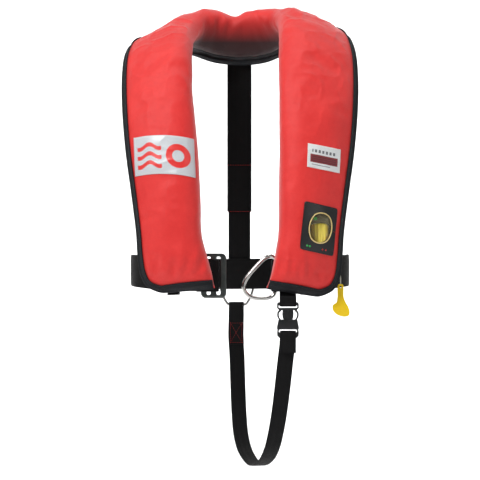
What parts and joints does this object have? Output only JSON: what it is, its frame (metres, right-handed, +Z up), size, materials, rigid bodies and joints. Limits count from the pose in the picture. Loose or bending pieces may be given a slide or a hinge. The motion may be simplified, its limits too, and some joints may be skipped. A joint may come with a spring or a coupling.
{
  "type": "inflatable life jacket",
  "caption": "Collar-shaped inflatable life jacket with waist belt, slotted steel buckle, tether ring, crotch strap with side-release clip, gas inflator and pull tab.",
  "frame": {"origin": "on the centre line where the inside of the collar rests on the wearer's shoulders beside the neck", "axes": "+Z up the standing wearer, -Y is the front of the jacket, +X is the viewer's right, on the inflator and pull tab side"},
  "size_m": [0.3738, 0.2943, 0.7355],
  "materials": {
    "cover_cloth": "woven nylon, slight sheen",
    "lining_cloth": "matte knitted polyester",
    "edge_tape": "ribbed polyester tape",
    "bladder_film": "coated nylon film",
    "webbing": "woven polyester webbing",
    "hook_tape": "hook and loop tape",
    "buckle_steel": "dark brushed",
    "ring_steel": "polished stainless",
    "plated_steel": "plated",
    "clip_plastic": "moulded, fine grain",
    "inflator_plastic": "moulded",
    "cap_plastic": "ribbed, moulded",
    "bobbin": "moulded",
    "cylinder_paint": "satin",
    "stem_brass": "machined",
    "indicator": "moulded",
    "tube_rubber": "matte",
    "valve_plastic": "moulded",
    "whistle_plastic": "moulded",
    "line": "braided",
    "tab_plastic": "moulded, soft gloss",
    "reflective_tape": "retroreflective, fine dots",
    "label_cloth": "woven",
    "window_vinyl": "coated vinyl",
    "lens": "clear vinyl"
  },
  "bodies": {
    "jacket": {"cover_shell": "cover_cloth", "cover_lining": "lining_cloth", "edge_binding": "edge_tape", "bladder": "bladder_film", "waist_belt": "webbing", "belt_keeper_left": "webbing", "belt_keeper_right": "webbing", "back_strap_upper": "webbing", "back_strap_lower": "webbing", "crotch_tab": "webbing", "closure_hook_left": "hook_tape", "closure_hook_right": "hook_tape", "closure_loop_left": "hook_tape", "closure_loop_right": "hook_tape", "cord_eyelet": "plated_steel", "firing_spring": "plated_steel", "clip_plug": "clip_plastic", "inflator_body": "inflator_plastic", "automatic_cap": "cap_plastic", "water_bobbin": "bobbin", "gas_cylinder": "cylinder_paint", "inflation_stem": "stem_brass", "manifold_nut": "stem_brass", "status_indicator": "indicator", "oral_flange": "tube_rubber", "oral_tube": "tube_rubber", "oral_valve": "valve_plastic", "whistle": "whistle_plastic", "whistle_lanyard": "line", "reflective_panel": "reflective_tape", "woven_label": "label_cloth", "window_patch": "window_vinyl", "window_lens": "lens"},
    "belt_buckle": {"belt_buckle": "buckle_steel"},
    "tether_ring": {"tether_ring": "ring_steel"},
    "crotch_ring": {"crotch_ring": "ring_steel", "crotch_strap_rear": "webbing"},
    "crotch_clip": {"clip_socket": "clip_plastic", "crotch_strap_front": "webbing"},
    "clip_arm_left": {"clip_arm_left": "clip_plastic"},
    "clip_arm_right": {"clip_arm_right": "clip_plastic"},
    "pull_line": {"pull_cord": "line"},
    "pull_tab": {"pull_tab": "tab_plastic"},
    "firing_lever": {"firing_lever": "inflator_plastic"},
    "piercing_pin": {"piercing_pin": "plated_steel"},
    "oral_cap": {"oral_cap": "valve_plastic"}
  },
  "joints": [
    {"name": "belt_buckle_swing", "type": "hinge", "parent": "jacket", "child": "belt_buckle", "pos_m": [-0.0413, -0.1115, -0.38392], "axis": [0, 0, 1], "range_deg": [-5, 12]},
    {"name": "tether_ring_swing", "type": "hinge", "parent": "jacket", "child": "tether_ring", "pos_m": [0.054, -0.11165, -0.38376], "axis": [0, 0, 1], "range_deg": [-25, 40]},
    {"name": "crotch_ring_swing", "type": "hinge", "parent": "jacket", "child": "crotch_ring", "pos_m": [-0.005, 0.1193, -0.388], "axis": [1, 0, 0], "range_deg": [-10, 30], "deforming": ["crotch_strap_rear"]},
    {"name": "clip_release", "type": "slide", "parent": "jacket", "child": "crotch_clip", "axis": [0, 0, -1], "range_m": [0, 0.03], "deforming": ["crotch_strap_front"]},
    {"name": "clip_arm_left_squeeze", "type": "hinge", "parent": "jacket", "child": "clip_arm_left", "pos_m": [0.0627, -0.143, -0.4376], "axis": [0, -1, 0], "range_deg": [0, 6], "stiffness_Nm_per_rad": 0.005},
    {"name": "clip_arm_right_squeeze", "type": "hinge", "parent": "jacket", "child": "clip_arm_right", "pos_m": [0.0861, -0.143, -0.4376], "axis": [0, 1, 0], "range_deg": [0, 6], "stiffness_Nm_per_rad": 0.005},
    {"name": "manual_pull", "type": "slide", "parent": "jacket", "child": "pull_line", "axis": [0, 0, -1], "range_m": [0, 0.018], "deforming": ["pull_cord"]},
    {"name": "pull_tab_swing", "type": "hinge", "parent": "pull_line", "child": "pull_tab", "pos_m": [0.157, -0.117, -0.397], "axis": [0, 1, 0], "range_deg": [-30, 30]},
    {"name": "firing_lever_turn", "type": "hinge", "parent": "jacket", "child": "firing_lever", "pos_m": [0.1424, -0.134, -0.2912], "axis": [0, 0.9863, -0.165], "range_deg": [0, 100.1]},
    {"name": "piercing_pin_slide", "type": "slide", "parent": "jacket", "child": "piercing_pin", "axis": [0, 0.165, 0.9863], "range_m": [0, 0.005]},
    {"name": "oral_cap_pull", "type": "slide", "parent": "jacket", "child": "oral_cap", "axis": [0, 0.165, 0.9863], "range_m": [0, 0.012]}
  ],
  "couplings": [
    {"joint": "clip_arm_right_squeeze", "follows": "clip_arm_left_squeeze", "ratio": 1},
    {"joint": "firing_lever_turn", "follows": "manual_pull", "rad_per_m": 96.9},
    {"joint": "piercing_pin_slide", "follows": "manual_pull", "ratio": 0.2777}
  ]
}
